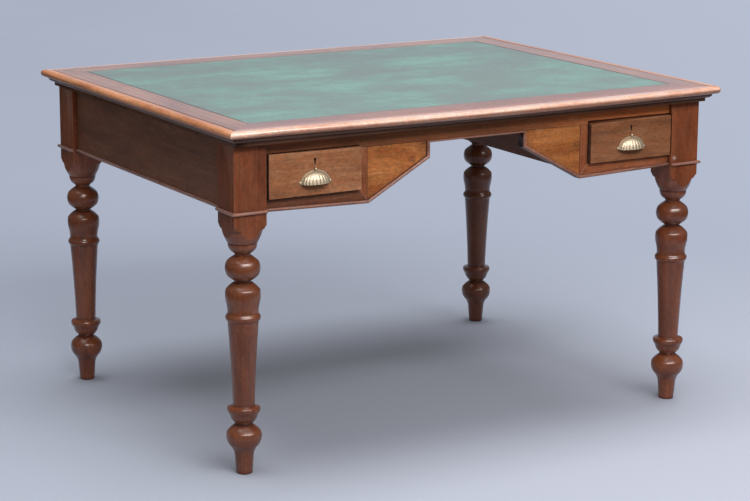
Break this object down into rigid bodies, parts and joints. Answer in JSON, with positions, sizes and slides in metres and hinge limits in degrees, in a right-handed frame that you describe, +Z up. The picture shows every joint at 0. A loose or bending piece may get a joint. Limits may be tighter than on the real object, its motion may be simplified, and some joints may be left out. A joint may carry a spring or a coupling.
{
  "type": "partners desk",
  "caption": "Mahogany partners desk with a leather writing surface, turned legs and a drawer with a shell pull at both ends of each long side.",
  "frame": {"origin": "on the floor, under the middle of the top", "axes": "+X along the desk's length, -Y towards the pictured long side, +Z up"},
  "size_m": [1.26, 0.992, 0.754],
  "materials": {
    "mahogany_top": "worn french polish",
    "mahogany_frame": "french polish",
    "mahogany_panel": "french polish",
    "mahogany_drawer": "french polish",
    "pine": "planed and unfinished",
    "oak": "planed and unfinished",
    "leather": "waxed",
    "brass": "satin",
    "steel": "satin"
  },
  "bodies": {
    "desk": {"bead_back": "mahogany_frame", "bead_ends": "mahogany_frame", "bead_front": "mahogany_frame", "border_back": "mahogany_top", "border_front": "mahogany_top", "border_left": "mahogany_top", "border_right": "mahogany_top", "bottom_rails_back": "mahogany_panel", "bottom_rails_front": "mahogany_panel", "drawer_stops": "pine", "end_apron_left": "mahogany_frame", "end_apron_right": "mahogany_frame", "kickers": "pine", "leather_inset": "leather", "leg_back_left": "mahogany_frame", "leg_back_right": "mahogany_frame", "leg_front_left": "mahogany_frame", "leg_front_right": "mahogany_frame", "lip_ends": "mahogany_top", "lip_sides": "mahogany_top", "partitions": "mahogany_frame", "runners": "pine", "spandrels_back": "mahogany_panel", "spandrels_front": "mahogany_panel", "stiles_back": "mahogany_panel", "stiles_front": "mahogany_panel", "top_panel": "pine", "top_rail_back": "mahogany_frame", "top_rail_front": "mahogany_frame", "top_screws": "steel", "under_moulding": "mahogany_frame"},
    "front_left_drawer": {"front_left_drawer_back": "oak", "front_left_drawer_bottom": "oak", "front_left_drawer_face": "mahogany_drawer", "front_left_drawer_lock": "brass", "front_left_drawer_pull": "brass", "front_left_drawer_sides": "oak"},
    "front_left_bolt": {"front_left_drawer_bolt": "steel"},
    "front_right_drawer": {"front_right_drawer_back": "oak", "front_right_drawer_bottom": "oak", "front_right_drawer_face": "mahogany_drawer", "front_right_drawer_lock": "brass", "front_right_drawer_pull": "brass", "front_right_drawer_sides": "oak"},
    "front_right_bolt": {"front_right_drawer_bolt": "steel"},
    "back_left_drawer": {"back_left_drawer_back": "oak", "back_left_drawer_bottom": "oak", "back_left_drawer_face": "mahogany_drawer", "back_left_drawer_lock": "brass", "back_left_drawer_pull": "brass", "back_left_drawer_sides": "oak"},
    "back_left_bolt": {"back_left_drawer_bolt": "steel"},
    "back_right_drawer": {"back_right_drawer_back": "oak", "back_right_drawer_bottom": "oak", "back_right_drawer_face": "mahogany_drawer", "back_right_drawer_lock": "brass", "back_right_drawer_pull": "brass", "back_right_drawer_sides": "oak"},
    "back_right_bolt": {"back_right_drawer_bolt": "steel"}
  },
  "joints": [
    {"name": "front_left_drawer_slide", "type": "slide", "parent": "desk", "child": "front_left_drawer", "axis": [0, -1, 0], "range_m": [0, 0.3]},
    {"name": "front_left_bolt_slide", "type": "slide", "parent": "front_left_drawer", "child": "front_left_bolt", "axis": [0, 0, 1], "range_m": [0, 0.006]},
    {"name": "front_right_drawer_slide", "type": "slide", "parent": "desk", "child": "front_right_drawer", "axis": [0, -1, 0], "range_m": [0, 0.3]},
    {"name": "front_right_bolt_slide", "type": "slide", "parent": "front_right_drawer", "child": "front_right_bolt", "axis": [0, 0, 1], "range_m": [0, 0.006]},
    {"name": "back_left_drawer_slide", "type": "slide", "parent": "desk", "child": "back_left_drawer", "axis": [0, 1, 0], "range_m": [0, 0.3]},
    {"name": "back_left_bolt_slide", "type": "slide", "parent": "back_left_drawer", "child": "back_left_bolt", "axis": [0, 0, 1], "range_m": [0, 0.006]},
    {"name": "back_right_drawer_slide", "type": "slide", "parent": "desk", "child": "back_right_drawer", "axis": [0, 1, 0], "range_m": [0, 0.3]},
    {"name": "back_right_bolt_slide", "type": "slide", "parent": "back_right_drawer", "child": "back_right_bolt", "axis": [0, 0, 1], "range_m": [0, 0.006]}
  ]
}
